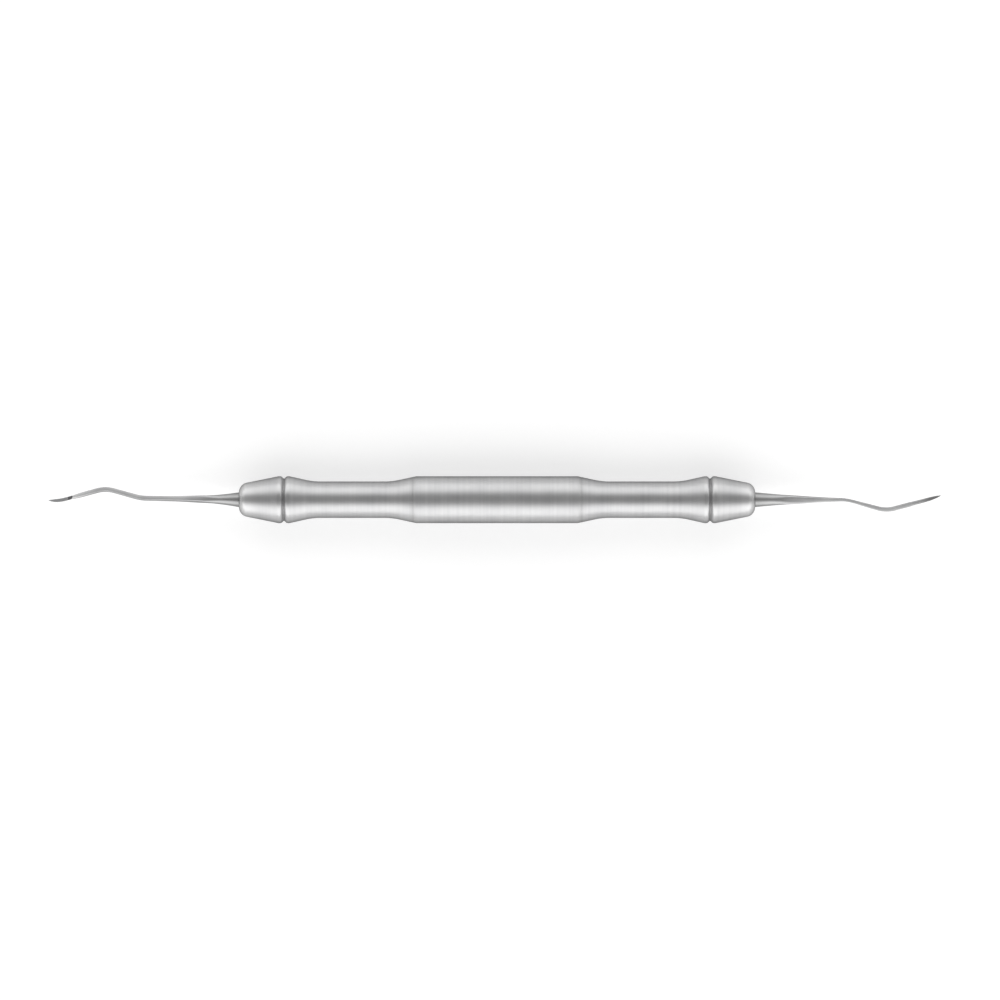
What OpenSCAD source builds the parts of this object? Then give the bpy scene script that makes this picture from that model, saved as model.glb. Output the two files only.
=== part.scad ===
// Double-ended dental scaler, lying on its side with the handle along X.
// The origin is on the handle's axis, half way along the centre barrel.
// Every length is in millimetres and every angle in degrees.
// A tubular barrel holds two turned grips, and each grip holds one forged working end by its tang.

/* [Barrel] */
// Outer diameter of the barrel
barrel_d = 9.4; // [8:0.1:12]
// Length of the barrel from seam to seam
barrel_len = 33.6; // [20:0.2:60]
// Thickness of the barrel's wall
barrel_wall = 1; // [0.6:0.1:1.4]
// Length of the sloping edge at each end of the barrel
barrel_edge_len = 0.6; // [0.2:0.1:2]
// Drop of that edge below the barrel's surface, measured on the radius
barrel_edge_drop = 0.14; // [0.05:0.01:0.3]
// Size of the small chamfers that show as a seam line
seam_chamfer = 0.04; // [0.02:0.01:0.2]

/* [Grips] */
// Length of each flare, from the seam down to the waist
flare_len = 4.2; // [3:0.1:8]
// Diameter of each waist, where the fingers hold
waist_d = 7.3; // [6.8:0.1:8.4]
// Length of each waist
waist_len = 15.8; // [8:0.1:30]
// Length of the taper from a waist up to the first ridge
taper_len = 4.7; // [3:0.1:8]
// Diameter over the two ridges beside the groove
ridge_d = 9.4; // [9:0.1:11]
// Length over the two ridges, with the groove between them
ridges_len = 2.2; // [1.8:0.1:3]
// Width of the groove at its mouth
groove_w = 1.1; // [0.8:0.1:1.6]
// Depth of the groove before its floor is rounded
groove_depth = 0.52; // [0.3:0.02:0.9]
// Length of the nose cone, from the second ridge to the end face
nose_len = 7.9; // [5:0.1:12]
// Diameter that the nose cone would have at its end face if it weren't rounded
nose_d = 6.2; // [5.4:0.1:7.5]
// Radius that rounds the nose off
nose_round = 1.85; // [0.4:0.05:2.4]
// Radius that blends a waist into its flare and its taper
waist_round = 12; // [4:0.5:20]
// Radius on the edges of each ridge
ridge_round = 0.25; // [0.05:0.05:0.4]
// Radius of the groove's floor
groove_round = 0.15; // [0.05:0.01:0.4]
// Thickness of each grip's wall, at the slimmer of its waist and its spigot
grip_wall = 1.05; // [0.8:0.05:1.6]
// Length of the spigot that goes into the barrel
spigot_len = 5; // [3:0.5:8]
// Chamfer on the spigot's free end
spigot_chamfer = 0.4; // [0.1:0.1:0.8]
// Gap between a spigot and the barrel's bore, on the radius
spigot_clearance = 0.02; // [0.01:0.01:0.08]

/* [Tangs] */
// Diameter of the round tang of each working end
tang_d = 3; // [2.4:0.1:3.6]
// Length of the tang inside the nose
tang_len = 10; // [6:0.5:14]
// Chamfer on the tang's inner end
tang_chamfer = 0.3; // [0.1:0.1:0.6]
// Gap between a tang and its bore, on the radius
tang_clearance = 0.02; // [0.01:0.01:0.08]

/* [Shanks] */
// Slope of the shank between its first bend and the apex
bend_angle = 15.5; // [8:0.5:24]
// Slope back of the lower shank beyond the apex
lower_angle = 15; // [8:0.5:24]
// Half the length over which the first bend is rounded
bend_blend = 1.3; // [0.5:0.1:3]
// Half the length over which the apex is rounded
apex_blend = 1.7; // [0.5:0.1:3]
// Angle at which the shank leans away from the blade's face
shank_lean = 4; // [0:0.5:8]
// Thickness of the shank at its first bend, square to the bend
neck_depth = 1.05; // [0.8:0.05:1.6]
// Thickness of the lower shank, square to the bend
shank_depth = 1; // [0.8:0.05:1.5]
// Power that sets how fast the thickness falls from the tang to the first bend
depth_power = 2.2; // [1:0.1:3.5]
// Length of the round root before the shank's flats begin
flats_from = 4; // [2:0.5:8]
// Length over which the round root turns into flats
flats_blend = 5; // [2:0.5:10]
// Power of the flattened section: 2 is an ellipse, and more is squarer
flats_power = 6; // [2:0.1:8]

/* [Blades] */
// Length of each blade along the handle's direction
blade_len = 4.7; // [3:0.1:7]
// Length over which the lower shank narrows into the blade
heel_blend = 2.6; // [1:0.1:4]
// Height of the forged blade before its face is ground
blade_depth = 0.95; // [0.7:0.05:1.4]
// Angle at which the toe rises towards the face, off the handle's direction
toe_rise = 20; // [5:1:30]
// Tilt of the ground face about the blade's length
face_tilt = 12; // [0:1:25]
// Height of the ground face over the blade's centre line
face_height = 0.03; // [0:0.01:0.15]
// Radius of the ramp that the grinding wheel leaves at the heel
ramp_round = 1.4; // [0.8:0.1:3]
// Width of the toe at its very end
toe_w = 0.1; // [0.06:0.02:0.3]

/* [Left working end] */
// Length of the straight shank up to its first bend
left_straight_len = 19.6; // [12:0.1:26]
// Length from the first bend to the apex
left_rise_len = 7.1; // [4.5:0.1:12]
// Length from the apex to the heel of the blade
left_fall_len = 6.7; // [4.5:0.1:12]
// Aim of the straight shank off the handle's axis, towards the apex
left_aim = 0.9; // [-2:0.1:2]
// Turn of the blade towards the apex's side
left_blade_turn = 21; // [-10:1:30]
// Width of the shank at its first bend, in the plane of the bends
left_neck_w = 0.84; // [0.5:0.02:1.4]
// Width of the lower shank, in the plane of the bends
left_shank_w = 0.82; // [0.6:0.02:1.4]
// Width of the blade at its heel
left_blade_w = 0.68; // [0.5:0.02:1.2]
// Power that sets how fast the straight shank gets slim
left_taper_power = 3.1; // [1:0.1:4]
// Power that sets how full the blade stays before its toe
left_toe_power = 5; // [2:0.5:8]
// Roll of the shank's flats towards the apex's side
left_roll = 16; // [-20:1:20]

/* [Right working end] */
// Length of the straight shank up to its first bend
right_straight_len = 18.3; // [12:0.1:26]
// Length from the first bend to the apex
right_rise_len = 7.9; // [4.5:0.1:12]
// Length from the apex to the heel of the blade
right_fall_len = 6.2; // [4.5:0.1:12]
// Aim of the straight shank off the handle's axis, towards the apex
right_aim = 0; // [-2:0.1:2]
// Turn of the blade towards the apex's side
right_blade_turn = -3; // [-10:1:30]
// Width of the shank at its first bend, in the plane of the bends
right_neck_w = 0.54; // [0.5:0.02:1.4]
// Width of the lower shank, in the plane of the bends
right_shank_w = 0.8; // [0.6:0.02:1.4]
// Width of the blade at its heel
right_blade_w = 0.76; // [0.5:0.02:1.2]
// Power that sets how fast the straight shank gets slim
right_taper_power = 1.4; // [1:0.1:4]
// Power that sets how full the blade stays before its toe
right_toe_power = 3.5; // [2:0.5:8]
// Roll of the shank's flats towards the apex's side
right_roll = -8; // [-20:1:20]

/* [Hidden] */
$fn = 96;
steel = [0.72, 0.73, 0.74];
bright_steel = [0.80, 0.81, 0.82];

// Places along a grip, from the seam outwards
waist_from = flare_len;
waist_to = waist_from + waist_len;
ridge_in = waist_to + taper_len;
ridge_out = ridge_in + ridges_len;
groove_mid = (ridge_in + ridge_out) / 2;
grip_len = ridge_out + nose_len;
seam_r = barrel_d / 2 - barrel_edge_drop;
seam_x = barrel_len / 2;

// The bore that makes each grip light passes through the spigot and the waist,
// and ends in the cone that a drill's point leaves
barrel_bore_r = barrel_d / 2 - barrel_wall;
spigot_r = barrel_bore_r - spigot_clearance;
grip_bore_r = min(waist_d / 2, spigot_r) - grip_wall;
tang_bore_r = tang_d / 2 + tang_clearance;
drill_angle = 59;
drill_cone_len = (grip_bore_r - tang_bore_r) / tan(drill_angle);

// The share of a side that one rounding may use up, next to a second rounding and next to none
side_beside_round = 0.48;
side_beside_corner = 0.96;

// How finely the rounded corners and the swept shanks are divided
corner_steps = 8;
ring_sides = 24;
straight_rings = 14;
bend_rings = 8;
rise_rings = 4;
apex_rings = 10;
fall_rings = 6;
blade_rings = 22;
face_steps = 24;
tangent_step = 0.02;
// The shank starts this far inside the tang, and this much slimmer than it
root_overlap = 0.6;
root_step = 0.02;
// Half the share of the blade over which it turns sideways
turn_share = 0.36;
// The share of the heel's narrowing that lies before the blade
heel_lead = 0.75;
// Power that sets how full the blade's thickness stays before its toe
toe_depth_power = 1.6;
// The face is ground with room to spare above and beside the blade, and past its toe
grind_room = 3;
grind_past = 1;
// The ramp at the heel is an arc that starts this steep, in steps of this many degrees
ramp_from = 80;
ramp_step = 8;

function unit(v) = v / norm(v);
function mix(a, b, t) = a + (b - a) * t;
function clamped(t) = max(0, min(1, t));
function eased(t) = let (c = clamped(t)) c * c * (3 - 2 * c);
function power_of(v, power) = sign(v) * pow(abs(v), power);
function steps(from, to, count) = [for (k = [0 : count - 1]) mix(from, to, k / count)];

// A slope of 1 that starts at u = 0, with its corner rounded over half_len to each side
function ramp(u, half_len) =
    u < -half_len ? 0 : u > half_len ? u : pow(u + half_len, 2) / (4 * half_len);

// The share of a side that a corner's rounding may use up
function share(corners, i) = corners[i][2] > 0 ? side_beside_round : side_beside_corner;

// One corner of an outline, as a point or as an arc of the corner's own radius.
// A corner is [distance along the axis, radius from the axis, rounding].
function corner_points(corners, i) =
    let (last = len(corners) - 1, here = [corners[i].x, corners[i].y])
    i == 0 || i == last || corners[i][2] == 0 ? [here] :
    let (
        before = [corners[i - 1].x, corners[i - 1].y],
        after = [corners[i + 1].x, corners[i + 1].y],
        u = unit(before - here),
        v = unit(after - here),
        half = acos(u * v) / 2,
        room = min(norm(before - here) * share(corners, i - 1), norm(after - here) * share(corners, i + 1)),
        run = min(corners[i][2] / tan(half), room),
        radius = run * tan(half),
        centre = here + unit(u + v) * radius / sin(half),
        from = here + u * run - centre,
        to = here + v * run - centre,
        start = atan2(from.y, from.x),
        raw = atan2(to.y, to.x) - start,
        sweep = raw > 180 ? raw - 360 : raw < -180 ? raw + 360 : raw
    )
    [for (k = [0 : corner_steps])
        let (a = start + sweep * k / corner_steps)
        centre + radius * [cos(a), sin(a)]];

// A solid turned about the X axis from an outline of corners
module turned(corners) {
    outline = [for (i = [0 : len(corners) - 1]) for (p = corner_points(corners, i)) [p.y, p.x]];
    rotate([0, 90, 0])
        rotate_extrude()
            polygon(outline);
}

// The centre tube. Each end slopes down to the flare, with a small chamfer at the seam.
module handle_barrel() {
    outer_r = barrel_d / 2;
    color(steel)
        turned([
            [-seam_x, barrel_bore_r, 0],
            [-seam_x, seam_r - seam_chamfer, 0],
            [-seam_x + seam_chamfer, seam_r, 0],
            [-seam_x + barrel_edge_len, outer_r, 0],
            [seam_x - barrel_edge_len, outer_r, 0],
            [seam_x - seam_chamfer, seam_r, 0],
            [seam_x, seam_r - seam_chamfer, 0],
            [seam_x, barrel_bore_r, 0]
        ]);
}

// One grip, from the spigot inside the barrel to the rounded nose, with the seam at x = 0
module grip() {
    waist_r = waist_d / 2;
    ridge_r = ridge_d / 2;
    bore_end = grip_len - tang_len;
    color(steel)
        turned([
            [-spigot_len, grip_bore_r, 0],
            [-spigot_len, spigot_r - spigot_chamfer, 0],
            [-spigot_len + spigot_chamfer, spigot_r, 0],
            [0, spigot_r, 0],
            [0, seam_r - seam_chamfer, 0],
            [seam_chamfer, seam_r, 0],
            [waist_from, waist_r, waist_round],
            [waist_to, waist_r, waist_round],
            [ridge_in, ridge_r, ridge_round],
            [groove_mid - groove_w / 2, ridge_r, ridge_round],
            [groove_mid, ridge_r - groove_depth, groove_round],
            [groove_mid + groove_w / 2, ridge_r, ridge_round],
            [ridge_out, ridge_r, ridge_round],
            [grip_len, nose_d / 2, nose_round],
            [grip_len, tang_bore_r, 0],
            [bore_end, tang_bore_r, 0],
            [bore_end - drill_cone_len, grip_bore_r, 0]
        ]);
}

// A closed skin through rings that all have the same number of points
module skin(rings) {
    sides = len(rings[0]);
    last = (len(rings) - 1) * sides;
    walls = [for (i = [0 : len(rings) - 2]) for (k = [0 : sides - 1])
        let (next = (k + 1) % sides, a = i * sides + k, b = i * sides + next)
        each [[a, a + sides, b], [b, a + sides, b + sides]]];
    start_cap = [for (k = [0 : sides - 1]) k];
    end_cap = [for (k = [sides - 1 : -1 : 0]) last + k];
    polyhedron(points = [for (r = rings) for (p = r) p], faces = concat(walls, [start_cap, end_cap]));
}

// One working end, from its tang to its toe, with the nose's end face at x = 0.
// Its bends rise towards +Y and its face looks towards +Z.
module working_end(straight_len, rise_len, fall_len, aim, blade_turn,
                   neck_w, shank_w, blade_w, taper_power, toe_power, roll) {
    bend_at = straight_len;
    apex_at = bend_at + rise_len;
    heel_at = apex_at + fall_len;
    toe_at = heel_at + blade_len;
    blade_mid = (heel_at + toe_at) / 2;
    turn_half = blade_len * turn_share;
    turn_at = toe_at - turn_half;

    // The centre line, seen from above and from the side
    function side(s) =
        tan(aim) * ramp(s, root_overlap)
        + (tan(bend_angle) - tan(aim)) * ramp(s - bend_at, bend_blend)
        - (tan(bend_angle) + tan(lower_angle)) * ramp(s - apex_at, apex_blend)
        + tan(blade_turn) * ramp(s - turn_at, turn_half);
    function depth(s) =
        (tan(shank_lean) + tan(toe_rise)) * ramp(s - blade_mid, blade_len / 2)
        - tan(shank_lean) * ramp(s - bend_at, bend_blend);
    function centre(s) = [s, side(s), depth(s)];

    // The section's width in the plane of the bends, and its thickness square to it
    function along_blade(s) = clamped((s - heel_at) / blade_len);
    function tapered(s, slim, power) =
        mix(slim, tang_d - 2 * root_step, pow(1 - clamped(s / bend_at), power));
    function upper(s, slim, low, power) =
        mix(tapered(s, slim, power), low, eased((s - bend_at) / rise_len));
    function heeled(s, shank, blade) = mix(shank, blade, eased((s - heel_at) / heel_blend + heel_lead));
    function width(s) =
        mix(toe_w, heeled(s, upper(s, neck_w, shank_w, taper_power), blade_w),
            1 - pow(along_blade(s), toe_power));
    function thickness(s) =
        mix(toe_w, heeled(s, upper(s, neck_depth, shank_depth, depth_power), blade_depth),
            1 - pow(along_blade(s), toe_depth_power));

    // The root is round, the shank has four flats with round corners, and the blade is round again
    function flatness(s) =
        eased((s - flats_from) / flats_blend)
        * (1 - eased((s - heel_at) / heel_blend + heel_lead));

    // One ring of the skin, square to the centre line, rolled about it by the roll of the flats
    function ring(s) =
        let (
            ahead = unit(centre(s + tangent_step) - centre(s - tangent_step)),
            level = unit([-ahead.y, ahead.x, 0]),
            upright = cross(ahead, level),
            turn = roll * flatness(s),
            across = level * cos(turn) - upright * sin(turn),
            up = level * sin(turn) + upright * cos(turn),
            bulge = 2 / mix(2, flats_power, flatness(s))
        )
        [for (k = [0 : ring_sides - 1])
            let (a = (k + 0.5) * 360 / ring_sides)
            centre(s)
                + across * power_of(cos(a), bulge) * width(s) / 2
                + up * power_of(sin(a), bulge) * thickness(s) / 2];
    stations = concat(
        [-root_overlap],
        steps(0, bend_at - bend_blend, straight_rings),
        steps(bend_at - bend_blend, bend_at + bend_blend, bend_rings),
        steps(bend_at + bend_blend, apex_at - apex_blend, rise_rings),
        steps(apex_at - apex_blend, apex_at + apex_blend, apex_rings),
        steps(apex_at + apex_blend, heel_at, fall_rings),
        steps(heel_at, toe_at, blade_rings),
        [toe_at]
    );

    // The line that the grinding wheel follows along the blade, and its ramp at the heel
    function ground(s) = cos(face_tilt) * (depth(s) + face_height) + sin(face_tilt) * side(s);
    ramp_rise = min(shank_depth / 2 - face_height, ramp_round);
    ramp_at = heel_at + sqrt(pow(ramp_round, 2) - pow(ramp_round - ramp_rise, 2));
    ramp_line = [for (a = [ramp_from : -ramp_step : 0])
        [ramp_at - ramp_round * sin(a), ground(ramp_at) + ramp_round * (1 - cos(a))]];
    ground_to = toe_at + grind_past;
    face_line = [for (s = steps(ramp_at, ground_to, face_steps)) [s, ground(s)]];
    above = ground(ramp_at) + grind_room;
    beyond = [ground_to, ground(ground_to)];
    ground_away = concat([[ramp_line[0].x, above]], ramp_line,
        [for (i = [1 : len(face_line) - 1]) face_line[i]], [beyond, [beyond.x, above]]);

    color(bright_steel)
        difference() {
            union() {
                turned([
                    [-tang_len, 0, 0],
                    [-tang_len, tang_d / 2 - tang_chamfer, 0],
                    [-tang_len + tang_chamfer, tang_d / 2, 0],
                    [0, tang_d / 2, 0],
                    [0, 0, 0]
                ]);
                skin([for (s = stations) ring(s)]);
            }
            rotate([90 - face_tilt, 0, 0])
                linear_extrude(2 * grind_room, center = true)
                    polygon(ground_away);
        }
}

module grip_left() {
    mirror([1, 0, 0])
        translate([seam_x, 0, 0])
            grip();
}

module grip_right() {
    translate([seam_x, 0, 0])
        grip();
}

module working_end_left() {
    mirror([1, 0, 0])
        translate([seam_x + grip_len, 0, 0])
            working_end(left_straight_len, left_rise_len, left_fall_len, left_aim, left_blade_turn,
                        left_neck_w, left_shank_w, left_blade_w, left_taper_power, left_toe_power, left_roll);
}

// The right end is the left one's opposite hand: its apex and its face are turned half round
module working_end_right() {
    translate([seam_x + grip_len, 0, 0])
        rotate([180, 0, 0])
            working_end(right_straight_len, right_rise_len, right_fall_len, right_aim, right_blade_turn,
                        right_neck_w, right_shank_w, right_blade_w, right_taper_power, right_toe_power,
                        right_roll);
}

handle_barrel();
grip_left();
grip_right();
working_end_left();
working_end_right();
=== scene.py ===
# %% [markdown]
# # A double-ended dental scaler
# The instrument is a light steel handle with a slim bent shank at each end. The middle tube and the
# two grips were turned on a lathe and given a satin finish, and the two working ends were forged,
# bent and ground by hand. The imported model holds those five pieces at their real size, and this
# lesson dresses them: it sets a camera, a floor and two soft lamps, turns finer handle pieces, cleans
# up the forged ends, and mixes the kinds of steel.

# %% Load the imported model
import math

import bmesh
import bpy
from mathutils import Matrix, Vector


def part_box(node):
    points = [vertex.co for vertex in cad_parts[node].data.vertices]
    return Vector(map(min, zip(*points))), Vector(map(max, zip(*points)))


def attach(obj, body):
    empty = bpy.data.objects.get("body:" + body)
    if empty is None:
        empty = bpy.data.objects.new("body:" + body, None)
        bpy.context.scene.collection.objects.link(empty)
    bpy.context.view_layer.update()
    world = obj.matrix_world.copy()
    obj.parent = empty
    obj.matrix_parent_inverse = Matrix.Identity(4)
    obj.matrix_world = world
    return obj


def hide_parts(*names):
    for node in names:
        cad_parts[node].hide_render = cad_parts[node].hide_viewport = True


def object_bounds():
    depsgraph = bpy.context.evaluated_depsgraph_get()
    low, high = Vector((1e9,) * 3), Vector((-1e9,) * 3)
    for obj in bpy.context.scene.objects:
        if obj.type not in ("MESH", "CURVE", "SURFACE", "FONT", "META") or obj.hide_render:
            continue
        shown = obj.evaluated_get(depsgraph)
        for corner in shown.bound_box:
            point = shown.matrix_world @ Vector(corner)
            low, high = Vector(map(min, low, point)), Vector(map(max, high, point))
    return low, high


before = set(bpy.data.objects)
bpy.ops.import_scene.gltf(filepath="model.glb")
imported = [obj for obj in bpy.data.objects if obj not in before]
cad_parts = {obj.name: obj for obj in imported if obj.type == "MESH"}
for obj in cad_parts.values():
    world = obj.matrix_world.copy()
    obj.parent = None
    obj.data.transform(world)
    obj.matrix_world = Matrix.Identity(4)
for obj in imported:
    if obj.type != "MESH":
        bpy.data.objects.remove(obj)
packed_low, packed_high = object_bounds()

MM = 0.001
print("packed pieces:", sorted(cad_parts))

# %% [markdown]
# ## The camera
# The photograph looks straight down on the instrument from far away, so nothing gets larger or
# smaller along its length. An orthographic camera would do that too, but a long lens is what a
# photographer would take. The frame is 200 mm wide at the handle's axis, because the photograph shows
# 0.2 mm in each of its 1000 pixels. The instrument sits a trifle left of and above the middle there,
# and the camera is shifted by as much.

# %% Place the camera above the handle
FRAME_WIDTH = 200 * MM
LENS, SENSOR = 180, 36
FRAME_CENTRE = Vector((0.6 * MM, -0.06 * MM, 0))
CLIP_FROM = 10 * MM

camera_height = FRAME_WIDTH * LENS / SENSOR
bpy.ops.object.select_all(action="DESELECT")
bpy.ops.object.camera_add(location=FRAME_CENTRE + Vector((0, 0, camera_height)), rotation=(0, 0, 0))
camera = bpy.context.object
camera.data.lens = LENS
camera.data.sensor_width = SENSOR
camera.data.clip_start = CLIP_FROM
bpy.context.scene.camera = camera
print("camera height above the axis: %.2f m" % camera_height)

# %% [markdown]
# ## Wiring nodes
# Materials and lamps are made of nodes, which are small machines with sockets and wires. By hand they
# are dragged about in the shader editor. Here a few helpers add a node, wire it up, and do sums with
# it, so that each finish further down reads as a short recipe.

# %% Helpers for nodes
def add_node(tree, kind, **settings):
    node = tree.nodes.new(kind)
    for key, value in settings.items():
        setattr(node, key, value)
    return node


def wire(tree, source, target):
    tree.links.new(source, target)


def calculate(tree, operation, first, second=None):
    """A sum with one or two values, each a number or the output of a node."""
    node = add_node(tree, "ShaderNodeMath", operation=operation)
    for socket, value in zip(node.inputs, (first, second)):
        if isinstance(value, (int, float)):
            socket.default_value = value
        elif value is not None:
            wire(tree, value, socket)
    return node.outputs[0]


def spread(tree, source, low, high, to_low, to_high, curve="LINEAR"):
    """Turns a value between low and high into one between to_low and to_high."""
    node = add_node(tree, "ShaderNodeMapRange", interpolation_type=curve)
    for key, value in (("From Min", low), ("From Max", high), ("To Min", to_low), ("To Max", to_high)):
        node.inputs[key].default_value = value
    wire(tree, source, node.inputs["Value"])
    return node.outputs["Result"]


def split_xyz(tree, source):
    """The three parts of a place or a direction, as outputs named X, Y and Z."""
    node = add_node(tree, "ShaderNodeSeparateXYZ")
    wire(tree, source, node.inputs["Vector"])
    return node.outputs


def grey(level):
    return (level, level, level)


# %% [markdown]
# ## The floor
# The instrument lies on plain pale paper. A white sheet could be lit until it burns out, but then the
# steel would get too much light as well. So the paper is a light grey, and a faint glow of its own
# lifts it to white. Only the eye and reflections see that glow, and the handle's soft shadow stays on
# the paper.

# %% Lay the floor
FLOOR_SIZE = 16.0
FLOOR_WHITE = 0.65
FLOOR_LIFT = 0.42
FLOOR_ROUGHNESS = 0.9

bpy.ops.mesh.primitive_plane_add(size=FLOOR_SIZE, location=(0, 0, packed_low.z))
floor = bpy.context.object
floor.name = "floor"
paper = bpy.data.materials.new("matt_white_floor")
paper.use_nodes = True
paper_tree = paper.node_tree
paper_shader = paper_tree.nodes["Principled BSDF"]
paper_shader.inputs["Base Color"].default_value = (*grey(FLOOR_WHITE), 1)
paper_shader.inputs["Roughness"].default_value = FLOOR_ROUGHNESS
paper_shader.inputs["Specular IOR Level"].default_value = 0.0
paper_shader.inputs["Emission Color"].default_value = (*grey(1), 1)
rays = add_node(paper_tree, "ShaderNodeLightPath").outputs
seen = calculate(paper_tree, "MAXIMUM", rays["Is Camera Ray"], rays["Is Glossy Ray"])
seen = calculate(paper_tree, "MAXIMUM", seen, rays["Is Transmission Ray"])
lift = calculate(paper_tree, "MULTIPLY", seen, FLOOR_LIFT)
wire(paper_tree, lift, paper_shader.inputs["Emission Strength"])
floor.data.materials.append(paper)
print("floor at z = %.2f mm" % (packed_low.z / MM))

# %% [markdown]
# ## The lamps
# Bare steel has hardly any colour of its own. What it shows is the room, squeezed into its curves.
# The photograph has a dark stripe along the top of the handle with a bright band on each side of it,
# so there are two long soft lamps, one before and one behind the handle. The near one reaches higher
# and is a little brighter, and its band is the brighter one too. Each lamp gets dimmer towards its
# upper rim, as a softbox does, and so the bands fade softly into the stripe. A picture of a studio
# wrapped round the scene could do the same, but a lamp can be moved and turned up by itself.

# %% Hang the two lamps
LAMP_DISTANCE = 3.0
LAMP_LENGTH = 14.0
LAMP_FROM = 2
LAMP_FADE = 0.5


def fade_upwards(lamp):
    lamp.data.use_nodes = True
    tree = lamp.data.node_tree
    place = add_node(tree, "ShaderNodeNewGeometry").outputs["Parametric"]
    fade = spread(tree, split_xyz(tree, place)["Y"], 1, 1 - LAMP_FADE, 0, 1, curve="SMOOTHSTEP")
    wire(tree, fade, tree.nodes["Emission"].inputs["Strength"])


def soft_lamp(name, side, top_angle, watts):
    """A long lamp beside the handle that fills the sky from just over the floor up to top_angle."""
    middle = math.radians((LAMP_FROM + top_angle) / 2)
    height = 2 * LAMP_DISTANCE * math.tan(math.radians(top_angle - LAMP_FROM) / 2)
    place = Vector((0, side * LAMP_DISTANCE * math.cos(middle), LAMP_DISTANCE * math.sin(middle)))
    bpy.ops.object.light_add(type="AREA", location=place)
    lamp = bpy.context.object
    lamp.name = name
    lamp.rotation_euler = place.to_track_quat("Z", "Y").to_euler()
    lamp.data.shape = "RECTANGLE"
    lamp.data.size = LAMP_LENGTH
    lamp.data.size_y = height
    lamp.data.energy = watts
    lamp.visible_camera = False
    fade_upwards(lamp)
    print("%s: %.1f m by %.1f m, %.0f W" % (name, LAMP_LENGTH, height, watts))


soft_lamp("near_lamp", side=-1, top_angle=76, watts=341)
soft_lamp("far_lamp", side=1, top_angle=68, watts=231)

# %% [markdown]
# ## The room
# Between the lamps is the dim ceiling of the room, and the stripe on top of the handle is its
# reflection. A real room has walls and corners, but a satin handle blurs them all, so one even grey
# will do.

# %% Dim the room
ROOM_GREY = 0.36

room = bpy.data.worlds.new("dim_room")
room.use_nodes = True
room.node_tree.nodes["Background"].inputs["Color"].default_value = (*grey(ROOM_GREY), 1)
bpy.context.scene.world = room
bpy.context.scene.view_settings.view_transform = "Standard"
print("room at %.0f percent of white" % (ROOM_GREY * 100))

# %% [markdown]
# ## Working on one piece at a time
# Blender's operators act on whatever is selected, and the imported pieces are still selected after
# loading. So each step below first makes one piece the only selected one. Inside a piece, rings of
# points could be clicked one by one. Here they are found by their place, because a turned shape is
# just a row of rings.

# %% Helpers for picking pieces and rings
SAME_PLACE = 0.002 * MM
MERGE_WITHIN = SAME_PLACE / 4


def pick_only(piece):
    bpy.ops.object.select_all(action="DESELECT")
    piece.select_set(True)
    bpy.context.view_layer.objects.active = piece


def from_axis(point):
    return math.hypot(point.y, point.z)


def pick_ring(piece, x, radius):
    """In edit mode, selects the one ring of edges that has this place and radius."""
    bpy.ops.mesh.select_all(action="DESELECT")
    bpy.ops.mesh.select_mode(type="EDGE")
    mesh = bmesh.from_edit_mesh(piece.data)
    for edge in mesh.edges:
        places = [(v.co.x - x, from_axis(v.co) - radius) for v in edge.verts]
        if all(max(abs(along), abs(out)) < SAME_PLACE for along, out in places):
            edge.select_set(True)
    bmesh.update_edit_mesh(piece.data)


# %% [markdown]
# ## Turning a piece
# On a lathe a bar is cut to one diameter after another. The same can be done here: one ring is
# extruded along the axis and scaled to each new diameter, out along the outside and back along the
# bore, until it meets the first ring. The corners are then rounded with the bevel tool, each by its
# own radius. A screw modifier on a drawn outline would do as well, but with rings each corner can
# still be picked and rounded by itself.

# %% Round the corners
BEVEL_STEPS = 10
SHARED_SIDE = 0.48
WHOLE_SIDE = 0.96


def bevel_reach(corners, i):
    """How far a corner's rounding reaches along its sides, which a rounded neighbour takes half of."""
    here = Vector(corners[i][:2])
    sides = []
    limits = []
    for step in (-1, 1):
        x, radius, rounding = corners[(i + step) % len(corners)]
        side = Vector((x, radius)) - here
        sides.append(side)
        limits.append(side.length * (SHARED_SIDE if rounding > 0 else WHOLE_SIDE))
    half_angle = sides[0].angle(sides[1]) / 2
    return min([corners[i][2] / math.tan(half_angle)] + limits)


def round_corners(piece, corners):
    for i, (x, radius, rounding) in enumerate(corners):
        if rounding > 0:
            pick_ring(piece, x, radius)
            bpy.ops.mesh.bevel(offset=bevel_reach(corners, i), segments=BEVEL_STEPS, clamp_overlap=False)


# %% A lathe that works with rings
RING_SIDES = 160
SMOOTH_BELOW = math.radians(28)


def smooth_turned_skin(piece):
    bpy.ops.object.shade_smooth_by_angle(angle=SMOOTH_BELOW)
    weigh = piece.modifiers.new("weigh_normals", "WEIGHTED_NORMAL")
    weigh.keep_sharp = True
    bpy.ops.object.modifier_apply(modifier=weigh.name)


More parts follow.
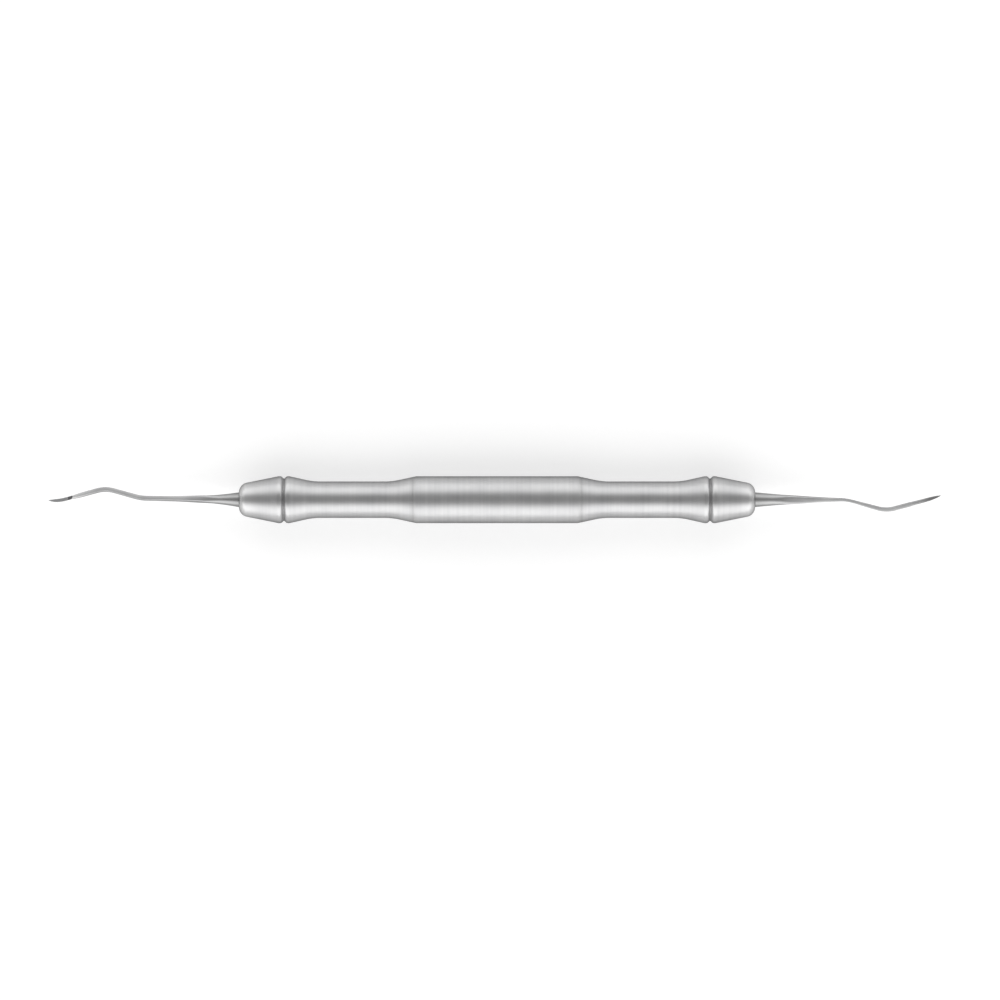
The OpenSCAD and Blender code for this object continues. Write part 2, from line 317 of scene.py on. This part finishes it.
def turn_piece(name, corners):
    """Makes a turned piece from corners of (place along the axis, radius, rounding)."""
    first_x, first_radius, _ = corners[0]
    upright = (0, math.pi / 2, 0)
    bpy.ops.object.select_all(action="DESELECT")
    bpy.ops.mesh.primitive_circle_add(vertices=RING_SIDES, radius=first_radius, rotation=upright)
    piece = bpy.context.object
    piece.name = name
    piece.data.name = name
    bpy.ops.object.transform_apply(location=False, rotation=True, scale=False)
    bpy.ops.object.mode_set(mode="EDIT")
    bpy.ops.mesh.select_all(action="SELECT")
    bpy.ops.transform.translate(value=(first_x, 0, 0))
    for (x, radius, _), (next_x, next_radius, _) in zip(corners, corners[1:] + corners[:1]):
        bpy.ops.mesh.extrude_region_move(TRANSFORM_OT_translate={"value": (next_x - x, 0, 0)})
        grow = next_radius / radius
        bpy.ops.transform.resize(value=(1, grow, grow), center_override=(0, 0, 0))
    bpy.ops.mesh.select_all(action="SELECT")
    bpy.ops.mesh.remove_doubles(threshold=MERGE_WITHIN)
    round_corners(piece, corners)
    bpy.ops.mesh.select_all(action="SELECT")
    bpy.ops.mesh.normals_make_consistent(inside=False)
    bpy.ops.object.mode_set(mode="OBJECT")
    smooth_turned_skin(piece)
    print("%s: %d faces" % (name, len(piece.data.polygons)))
    return piece


# %% [markdown]
# ## The barrel
# The middle of the handle is a plain tube. Each of its ends slopes down a little to meet the grip,
# with a tiny chamfer on the very edge, and the two chamfers together show as a fine seam line right
# round the handle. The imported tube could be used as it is, but its facets would show in the steel, so
# a finer one is turned, with the slopes blended as a cloth wheel leaves them.

# %% Turn the barrel
BORE_R = 3.7 * MM
SEAM_DROP = 0.14 * MM
SEAM_CHAMFER = 0.02 * MM
SEAM_ROUND = 0.02 * MM
SLOPE_LENGTH = 0.6 * MM
SLOPE_ROUND = 1.0 * MM

barrel_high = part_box("handle_barrel")[1]
barrel_r = barrel_high.z
seam_x = barrel_high.x
seam_r = barrel_r - SEAM_DROP

barrel = turn_piece("satin_barrel", [
    (-seam_x, BORE_R, 0),
    (-seam_x, seam_r - SEAM_CHAMFER, 0),
    (-seam_x + SEAM_CHAMFER, seam_r, SEAM_ROUND),
    (-seam_x + SLOPE_LENGTH, barrel_r, SLOPE_ROUND),
    (seam_x - SLOPE_LENGTH, barrel_r, SLOPE_ROUND),
    (seam_x - SEAM_CHAMFER, seam_r, SEAM_ROUND),
    (seam_x, seam_r - SEAM_CHAMFER, 0),
    (seam_x, BORE_R, 0),
])

# %% [markdown]
# ## The grips
# Each grip falls from the seam to a slim waist for the fingers, rises to a groove between two ridges,
# and ends in a cone with a rounded nose. A long bore makes it light, and a spigot behind the seam goes
# into the barrel. The left grip could be a mirrored copy of the right one, but mirroring turns the
# faces inside out, so the same function turns both, with a sign for left or right.

# %% Measure out the outside of a grip
WAIST_FROM = 4.2 * MM
WAIST_LENGTH = 15.8 * MM
WAIST_R = 3.65 * MM
WAIST_ROUND = 12 * MM
TAPER_LENGTH = 4.7 * MM
RIDGES_LENGTH = 2.2 * MM
RIDGE_R = 4.7 * MM
RIDGE_ROUND = 0.25 * MM
GROOVE_WIDTH = 1.1 * MM
GROOVE_DEPTH = 0.52 * MM
GROOVE_MOUTH_ROUND = 0.5 * MM
GROOVE_FLOOR_ROUND = 0.08 * MM
NOSE_R = 3.1 * MM
NOSE_ROUND = 1.85 * MM

grip_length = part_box("grip_right")[1].x - seam_x
waist_to = WAIST_FROM + WAIST_LENGTH
ridge_in = waist_to + TAPER_LENGTH
ridge_out = ridge_in + RIDGES_LENGTH
groove_middle = (ridge_in + ridge_out) / 2
print("each grip is %.2f mm long outside the barrel" % (grip_length / MM))

# %% Measure out the inside of a grip
SPIGOT_LENGTH = 5 * MM
SPIGOT_GAP = 0.02 * MM
SPIGOT_CHAMFER = 0.4 * MM
GRIP_BORE_R = 2.6 * MM
TANG_BORE_R = 1.52 * MM
TANG_LENGTH = 10 * MM
DRILL_POINT = math.radians(118)

spigot_r = BORE_R - SPIGOT_GAP
tang_from = grip_length - TANG_LENGTH
drill_cone = (GRIP_BORE_R - TANG_BORE_R) / math.tan(DRILL_POINT / 2)
print("the drilled cone between the bores is %.2f mm long" % (drill_cone / MM))


# %% Turn the two grips
def turn_grip(name, sign):
    outline = [
        (-SPIGOT_LENGTH, GRIP_BORE_R, 0),
        (-SPIGOT_LENGTH, spigot_r - SPIGOT_CHAMFER, 0),
        (-SPIGOT_LENGTH + SPIGOT_CHAMFER, spigot_r, 0),
        (0, spigot_r, 0),
        (0, seam_r - SEAM_CHAMFER, 0),
        (SEAM_CHAMFER, seam_r, SEAM_ROUND),
        (WAIST_FROM, WAIST_R, WAIST_ROUND),
        (waist_to, WAIST_R, WAIST_ROUND),
        (ridge_in, RIDGE_R, RIDGE_ROUND),
        (groove_middle - GROOVE_WIDTH / 2, RIDGE_R, GROOVE_MOUTH_ROUND),
        (groove_middle, RIDGE_R - GROOVE_DEPTH, GROOVE_FLOOR_ROUND),
        (groove_middle + GROOVE_WIDTH / 2, RIDGE_R, GROOVE_MOUTH_ROUND),
        (ridge_out, RIDGE_R, RIDGE_ROUND),
        (grip_length, NOSE_R, NOSE_ROUND),
        (grip_length, TANG_BORE_R, 0),
        (tang_from, TANG_BORE_R, 0),
        (tang_from - drill_cone, GRIP_BORE_R, 0),
    ]
    return turn_piece(name, [(sign * (seam_x + x), radius, rounding) for x, radius, rounding in outline])


left_grip = turn_grip("satin_grip_left", -1)
right_grip = turn_grip("satin_grip_right", 1)

# %% [markdown]
# ## The working ends
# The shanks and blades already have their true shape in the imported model, but as loose triangles.
# They could be modelled anew, but a copy keeps every bend. The copy is merged into one skin, and its
# faces are joined to four-sided ones where they are flat. The skin is then smoothed everywhere but
# along the edges that the grinding wheel left, because those edges do the cutting and stay sharp.

# %% Clean up the forged ends
SHARP_FROM = math.radians(32)
FLAT_WITHIN = math.radians(12)
SKEW_WITHIN = math.radians(40)


def forged_end(name, node):
    piece = bpy.data.objects.new(name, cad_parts[node].data.copy())
    piece.data.name = name
    bpy.context.scene.collection.objects.link(piece)
    pick_only(piece)
    bpy.ops.object.mode_set(mode="EDIT")
    bpy.ops.mesh.select_all(action="SELECT")
    bpy.ops.mesh.customdata_custom_splitnormals_clear()
    bpy.ops.mesh.remove_doubles(threshold=MERGE_WITHIN)
    bpy.ops.mesh.tris_convert_to_quads(face_threshold=FLAT_WITHIN, shape_threshold=SKEW_WITHIN)
    bpy.ops.object.mode_set(mode="OBJECT")
    bpy.ops.object.shade_smooth_by_angle(angle=SHARP_FROM)
    print("%s: %d faces" % (name, len(piece.data.polygons)))
    return piece


left_end = forged_end("forged_end_left", "working_end_left")
right_end = forged_end("forged_end_right", "working_end_right")

# %% [markdown]
# ## What all the steels share
# Steel is a metal all through, and seen along its surface it mirrors less than a clean mirror would.
# Its marks and stains are patterns in the piece's own space. A picture of scratches would do too, but
# it would need unwrapping and would repeat, and noise does neither. The noise is squeezed along one
# axis and stretched along another, and so it becomes rings, lines or scratches. Marks that are too
# fine to model only tilt the light a little, which is a bump.

# %% Start a steel
EDGE_TINT = (*grey(0.25), 1)


def new_steel(name):
    steel = bpy.data.materials.new(name)
    steel.use_nodes = True
    shader = steel.node_tree.nodes["Principled BSDF"]
    shader.inputs["Metallic"].default_value = 1.0
    shader.inputs["Specular Tint"].default_value = EDGE_TINT
    return steel, steel.node_tree, shader


def cover(piece, finish):
    piece.data.materials.clear()
    piece.data.materials.append(finish)


# %% Give it marks
# Noise lies mostly between these two levels
NOISE_LOW, NOISE_HIGH = 0.3, 0.7


def stretched_noise(tree, stretch, scale, detail):
    """Noise in the piece's own space, with its grain stretched by a scale for each axis."""
    squeeze = add_node(tree, "ShaderNodeMapping")
    squeeze.inputs["Scale"].default_value = stretch
    noise = add_node(tree, "ShaderNodeTexNoise")
    noise.inputs["Scale"].default_value = scale
    noise.inputs["Detail"].default_value = detail
    wire(tree, add_node(tree, "ShaderNodeTexCoord").outputs["Object"], squeeze.inputs["Vector"])
    wire(tree, squeeze.outputs["Vector"], noise.inputs["Vector"])
    return noise.outputs["Fac"]


def from_noise(tree, noise, to_low, to_high):
    return spread(tree, noise, NOISE_LOW, NOISE_HIGH, to_low, to_high)


def add_bump(tree, shader, height, strength, distance):
    bump = add_node(tree, "ShaderNodeBump")
    bump.inputs["Strength"].default_value = strength
    bump.inputs["Distance"].default_value = distance
    wire(tree, height, bump.inputs["Height"])
    wire(tree, bump.outputs["Normal"], shader.inputs["Normal"])


# %% Blend its colours
# A Mix node has sockets for each kind of value, and those for colours have these numbers
MIX_AMOUNT, MIX_FIRST, MIX_SECOND = 0, 6, 7
MIX_RESULT = 2


def blend_colours(tree, amount, first, second):
    """Goes from the first colour to the second, each a triple or the output of a node."""
    node = add_node(tree, "ShaderNodeMix", data_type="RGBA")
    for number, colour in ((MIX_FIRST, first), (MIX_SECOND, second)):
        if isinstance(colour, tuple):
            node.inputs[number].default_value = (*colour, 1)
        else:
            wire(tree, colour, node.inputs[number])
    wire(tree, amount, node.inputs[MIX_AMOUNT])
    return node.outputs[MIX_RESULT]


# %% [markdown]
# ## Satin steel
# A satin handle is brushed while it spins, so its marks run round it: fine rings of uneven width, with
# here and there a streak that fades out. The same noise makes the steel a little rougher and darker in
# places. The ridges are worn a trifle brighter where they rub on cloth and tray. The noses are painted
# lighter, a painted highlight for light from the sides. The floor of the groove is painted dark, as
# painted shade, and a fainter darker band runs along the seams. These marks could be drawn on a
# picture, but all follow the shape, so they are worked out from each point's place on the handle.

# %% Find a point's place on the handle
nose_x = seam_x + grip_length
groove_x = seam_x + groove_middle


def own_place(tree):
    """Each point's place in its own piece, whose origin is the middle of the handle."""
    return split_xyz(tree, add_node(tree, "ShaderNodeTexCoord").outputs["Object"])


def distance_from(tree, along, x):
    return calculate(tree, "ABSOLUTE", calculate(tree, "SUBTRACT", along, x))


def place_on_handle(tree):
    """How far each point lies from the nearer nose, groove and seam, and from the axis."""
    place = own_place(tree)
    along = calculate(tree, "ABSOLUTE", place["X"])
    to_nose = calculate(tree, "SUBTRACT", nose_x, along)
    to_groove = distance_from(tree, along, groove_x)
    to_seam = distance_from(tree, along, seam_x)
    squares = [calculate(tree, "POWER", place[axis], 2) for axis in ("Y", "Z")]
    radius = calculate(tree, "SQRT", calculate(tree, "ADD", *squares))
    return to_nose, to_groove, to_seam, radius


print("grooves at %.2f mm and noses at %.2f mm from the middle" % (groove_x / MM, nose_x / MM))

# %% Find the painted groove shade, the seam band and the wear
# Painted shade: the floor of the groove is darkened in its colour, where shade falls in the recess
GROOVE_PAINTED_SHADE = 0.3
GROOVE_SHADE_FROM, GROOVE_SHADE_TO = 0.05 * MM, 0.35 * MM
# A darker band along the seams, fainter than the groove's painted shade
SEAM_BAND = 0.2
SEAM_BAND_TO = 0.8 * MM
RIDGES_FROM, RIDGES_TO = 1.2 * MM, 1.6 * MM
CREST_DEPTH, CREST_TOP = 0.1 * MM, 0.02 * MM


def groove_shade_seam_band_and_wear(tree, to_groove, to_seam, radius):
    """The painted shade on the groove's floor, the darker band along the seams, and the wear on the ridges'
    crests.
    """
    # Painted shade on the groove's floor
    painted_groove_shade = spread(tree, to_groove, GROOVE_SHADE_FROM, GROOVE_SHADE_TO, GROOVE_PAINTED_SHADE, 0)
    # A darker band along the seams
    seam_band = spread(tree, to_seam, 0, SEAM_BAND_TO, SEAM_BAND, 0)
    near_ridges = spread(tree, to_groove, RIDGES_FROM, RIDGES_TO, 1, 0)
    crests = spread(tree, radius, RIDGE_R - CREST_DEPTH, RIDGE_R - CREST_TOP, 0, 1)
    groove_shade_and_seam_band = calculate(tree, "MAXIMUM", painted_groove_shade, seam_band)
    worn = calculate(tree, "MULTIPLY", near_ridges, crests)
    return groove_shade_and_seam_band, worn


# %% Colour the satin
STEEL_DULL = (0.40, 0.40, 0.405)
STEEL_CLEAN = grey(0.50)
# The grey of the groove's painted shade and of the darker seam band
GROOVE_SHADE_AND_SEAM_GREY = (0.18, 0.178, 0.175)
WORN_BRIGHT = grey(0.48)
# The noses' painted highlight, standing in for light from the sides
NOSE_PAINTED_LIGHT = grey(0.58)
NOSE_LIGHT_LENGTH = 4 * MM


def satin_colour(tree, tone, patches, groove_shade_and_seam_band, worn, to_nose):
    worn_in_places = calculate(tree, "MULTIPLY", worn, patches)
    # Painted light: the noses are lighter in colour to stand in for light from the sides
    nose_light = spread(tree, to_nose, 0, NOSE_LIGHT_LENGTH, 1, 0)
    colour = blend_colours(tree, from_noise(tree, tone, 0, 1), STEEL_DULL, STEEL_CLEAN)
    # The groove's painted shade and the darker seam band go into the colour here
    colour = blend_colours(tree, groove_shade_and_seam_band, colour, GROOVE_SHADE_AND_SEAM_GREY)
    colour = blend_colours(tree, worn_in_places, colour, WORN_BRIGHT)
    return blend_colours(tree, nose_light, colour, NOSE_PAINTED_LIGHT)


# %% Roughen the satin
# The sum of two noises lies mostly between these two levels
SUM_LOW, SUM_HIGH = 0.7, 1.3
SATIN_ROUGHNESS = (0.34, 0.40)
GROOVE_SHADE_AND_SEAM_ROUGHEN = 0.1
WEAR_SMOOTHS = 0.06


def satin_roughness(tree, tone, grain, groove_shade_and_seam_band, worn):
    roughness = spread(tree, calculate(tree, "ADD", tone, grain), SUM_LOW, SUM_HIGH, *SATIN_ROUGHNESS)
    # The painted groove shade and the seam band also make the steel a little rougher
    rougher = calculate(tree, "MULTIPLY", groove_shade_and_seam_band, GROOVE_SHADE_AND_SEAM_ROUGHEN)
    smoother = calculate(tree, "MULTIPLY", worn, WEAR_SMOOTHS)
    return calculate(tree, "SUBTRACT", calculate(tree, "ADD", roughness, rougher), smoother)


# %% Mix the satin steel
# Each noise has a stretch for X, Y and Z, a scale, and a detail
FINE_RINGS = ((1, 0.01, 0.01), 9000, 3)
BROAD_RINGS = ((1, 0.004, 0.004), 1600, 2)
STREAKS = ((1, 0.06, 0.06), 4200, 3)
PATCHES = ((1, 1, 1), 260, 3)
SATIN_BUMP = {"strength": 0.5, "distance": 0.004 * MM}


def half_and_half(tree, first, second):
    return calculate(tree, "MULTIPLY", calculate(tree, "ADD", first, second), 0.5)


def satin_steel():
    steel, tree, shader = new_steel("satin_steel")
    patches = stretched_noise(tree, *PATCHES)
    grain = half_and_half(tree, stretched_noise(tree, *FINE_RINGS), stretched_noise(tree, *STREAKS))
    tone = half_and_half(tree, stretched_noise(tree, *BROAD_RINGS), patches)
    to_nose, to_groove, to_seam, radius = place_on_handle(tree)
    groove_shade_and_seam_band, worn = groove_shade_seam_band_and_wear(tree, to_groove, to_seam, radius)
    add_bump(tree, shader, grain, **SATIN_BUMP)
    wire(tree, satin_colour(tree, tone, patches, groove_shade_and_seam_band, worn, to_nose), shader.inputs["Base Color"])
    wire(tree, satin_roughness(tree, tone, grain, groove_shade_and_seam_band, worn), shader.inputs["Roughness"])
    return steel


satin = satin_steel()
for piece in (barrel, left_grip, right_grip):
    cover(piece, satin)
print("%s has %d nodes" % (satin.name, len(satin.node_tree.nodes)))

# %% [markdown]
# ## Belt-finished steel
# The shanks are drawn along a fine belt, so their marks run lengthwise and not round them. The belt
# leaves a soft silky surface, rougher towards the blade, in which the lamps show only as a broad even
# sheen. The root next to the nose is painted darker, as painted shade. Just behind the blade the face
# side gets a painted highlight, and the back of the blade is painted darker towards its toe, as painted
# shade. One material could be made for each of those zones, but they blend into one another, so one
# material fades from each to the next.

# %% Tell the face side from the back
FACING_FULL = -0.4


def on_face_side(tree):
    """One where the skin looks the way of its blade's face (up on the left, down on the right)."""
    outwards = add_node(tree, "ShaderNodeTexCoord").outputs["Normal"]
    up = split_xyz(tree, outwards)["Z"]
    side = calculate(tree, "SIGN", own_place(tree)["X"])
    return spread(tree, calculate(tree, "MULTIPLY", side, up), 0, FACING_FULL, 0, 1)


# %% Colour the belt finish
# Painted shade at the root next to the nose
ROOT_PAINTED_SHADE = grey(0.32)
ROOT_LENGTH = 8 * MM
# Painted highlight on the face side just behind the blade
SHOULDER_PAINTED_HIGHLIGHT = grey(0.62)
SHOULDER_FROM, SHOULDER_TO = 80 * MM, 84.5 * MM
# Painted shade on the back of the blade towards its toe
TOE_PAINTED_SHADE = grey(0.12)
TOE_SHADE_AMOUNT = 0.8
TOE_FROM, TOE_TO = 83 * MM, 86.5 * MM


def belt_colour(tree, along, patches):
    face_side = on_face_side(tree)
    back_side = calculate(tree, "SUBTRACT", 1, face_side)
    # Painted shade: the root next to the nose is darkened
    root = spread(tree, along, nose_x, nose_x + ROOT_LENGTH, 1, 0)
    # Painted highlight on the face side behind the blade
    shoulder_highlight = calculate(tree, "MULTIPLY", face_side, spread(tree, along, SHOULDER_FROM, SHOULDER_TO, 0, 1))
    # Painted shade on the back of the blade towards the toe
    toe = calculate(tree, "MULTIPLY", back_side, spread(tree, along, TOE_FROM, TOE_TO, 0, TOE_SHADE_AMOUNT))
    colour = blend_colours(tree, from_noise(tree, patches, 0, 1), STEEL_DULL, STEEL_CLEAN)
    colour = blend_colours(tree, root, colour, ROOT_PAINTED_SHADE)
    colour = blend_colours(tree, shoulder_highlight, colour, SHOULDER_PAINTED_HIGHLIGHT)
    return blend_colours(tree, toe, colour, TOE_PAINTED_SHADE)


# %% Mix the belt-finished steel
BELT_LINES = ((0.03, 1, 1), 9000, 3)
BELT_PATCHES = ((0.4, 1, 1), 700, 2)
BELT_BUMP = {"strength": 0.4, "distance": 0.002 * MM}
BELT_ROUGHNESS = (0.36, 0.56)
ROUGHER_FROM, ROUGHER_TO = nose_x + 3 * MM, nose_x + 26 * MM
LINES_ROUGHEN = 0.06


def belt_steel():
    steel, tree, shader = new_steel("belt_steel")
    along = calculate(tree, "ABSOLUTE", own_place(tree)["X"])
    lines = stretched_noise(tree, *BELT_LINES)
    patches = stretched_noise(tree, *BELT_PATCHES)
    roughness = spread(tree, along, ROUGHER_FROM, ROUGHER_TO, *BELT_ROUGHNESS)
    roughness = calculate(tree, "ADD", roughness, from_noise(tree, lines, 0, LINES_ROUGHEN))
    add_bump(tree, shader, lines, **BELT_BUMP)
    wire(tree, belt_colour(tree, along, patches), shader.inputs["Base Color"])
    wire(tree, roughness, shader.inputs["Roughness"])
    return steel


silky = belt_steel()
for piece in (left_end, right_end):
    cover(piece, silky)
print("%s has %d nodes" % (silky.name, len(silky.node_tree.nodes)))

# %% [markdown]
# ## The ground faces
# The face of each blade, and the short heel ramp that leads down to it, were ground last. A wheel
# leaves short scratches across the blade, and a bare grey without the belt's silk. The ramp is painted
# darker than the face, as painted shade. Each could be a material of its own making, but they differ
# only in their greys, so one function mixes both, from two greys that come and go in clouds.

# %% Mix the ground steels
GROUND_GREY = (0.36, 0.36, 0.365)
# The heel ramp's darker greys are painted shade
HEEL_SHADE_DARK = (0.12, 0.12, 0.125)
HEEL_SHADE_GREY = (0.17, 0.17, 0.175)
SCRATCHES = ((1, 0.08, 0.08), 14000, 2)
CLOUDS = ((1, 1, 1), 1500, 2)
GROUND_BUMP = {"strength": 0.5, "distance": 0.003 * MM}
GROUND_ROUGHNESS = (0.3, 0.4)


def ground_steel(name, dark, light):
    steel, tree, shader = new_steel(name)
    scratches = stretched_noise(tree, *SCRATCHES)
    clouds = stretched_noise(tree, *CLOUDS)
    add_bump(tree, shader, scratches, **GROUND_BUMP)
    colour = blend_colours(tree, from_noise(tree, clouds, 0, 1), dark, light)
    wire(tree, colour, shader.inputs["Base Color"])
    wire(tree, from_noise(tree, scratches, *GROUND_ROUGHNESS), shader.inputs["Roughness"])
    return steel


ground = ground_steel("ground_steel", GROUND_GREY, STEEL_DULL)
# The heel ramp gets the ground steel in darker greys, as painted shade
heel = ground_steel("heel_painted_shade_steel", HEEL_SHADE_DARK, HEEL_SHADE_GREY)
print("ground steels:", ground.name, heel.name)

# %% [markdown]
# ## Finding the ground facets
# By hand, the facets would be clicked in edit mode. But they were cut straight across by one plane
# that follows the blade, so each of their normals is square to one direction, and that tells them from
# the round skin beside them. The ramp's normals lean towards the toe as well. Both steels become
# further materials on the same piece, so the sharp edge between face and back stays a single edge.

# %% Give the ground facets their steels
FACE_TILT = math.radians(12)
SQUARE_WITHIN = 0.004
FACET_FROM = nose_x + 26 * MM
HEEL_LEAN = 0.15


def grind_facets(piece, side):
    """Finds the ground facets on one side of a blade (1 up, -1 down) and gives them their steels."""
    face_slot, heel_shade_slot = len(piece.data.materials), len(piece.data.materials) + 1
    piece.data.materials.append(ground)
    piece.data.materials.append(heel)
    across = Vector((0, -math.cos(FACE_TILT), math.sin(FACE_TILT)))
    counts = {face_slot: 0, heel_shade_slot: 0}
    for face in piece.data.polygons:
        square = abs(face.normal.dot(across)) < SQUARE_WITHIN
        if abs(face.center.x) > FACET_FROM and square and face.normal.z * side > 0:
            towards_toe = math.copysign(face.normal.x, face.normal.x * face.center.x)
            # The ramp's facets take the painted-shade steel
            face.material_index = heel_shade_slot if towards_toe > HEEL_LEAN else face_slot
            counts[face.material_index] += 1
    print("%s: %d facets on the face, %d on the heel" % (piece.name, counts[face_slot], counts[heel_shade_slot]))


grind_facets(left_end, 1)
grind_facets(right_end, -1)

# %% [markdown]
# ## Handing over
# Nothing moves on this instrument, so every piece rides on the one body that the model has. Each new
# piece stands in for the imported one that it was made from, which is hidden.

# %% Tie the pieces to the imported model
for piece, node, finish in (
    (barrel, "handle_barrel", "satin_handle"),
    (left_grip, "grip_left", "satin_handle"),
    (right_grip, "grip_right", "satin_handle"),
    (left_end, "working_end_left", "polished_shank"),
    (right_end, "working_end_right", "polished_shank"),
):
    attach(piece, "root")
    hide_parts(node)
    print("%s stands for %s" % (piece.name, node))
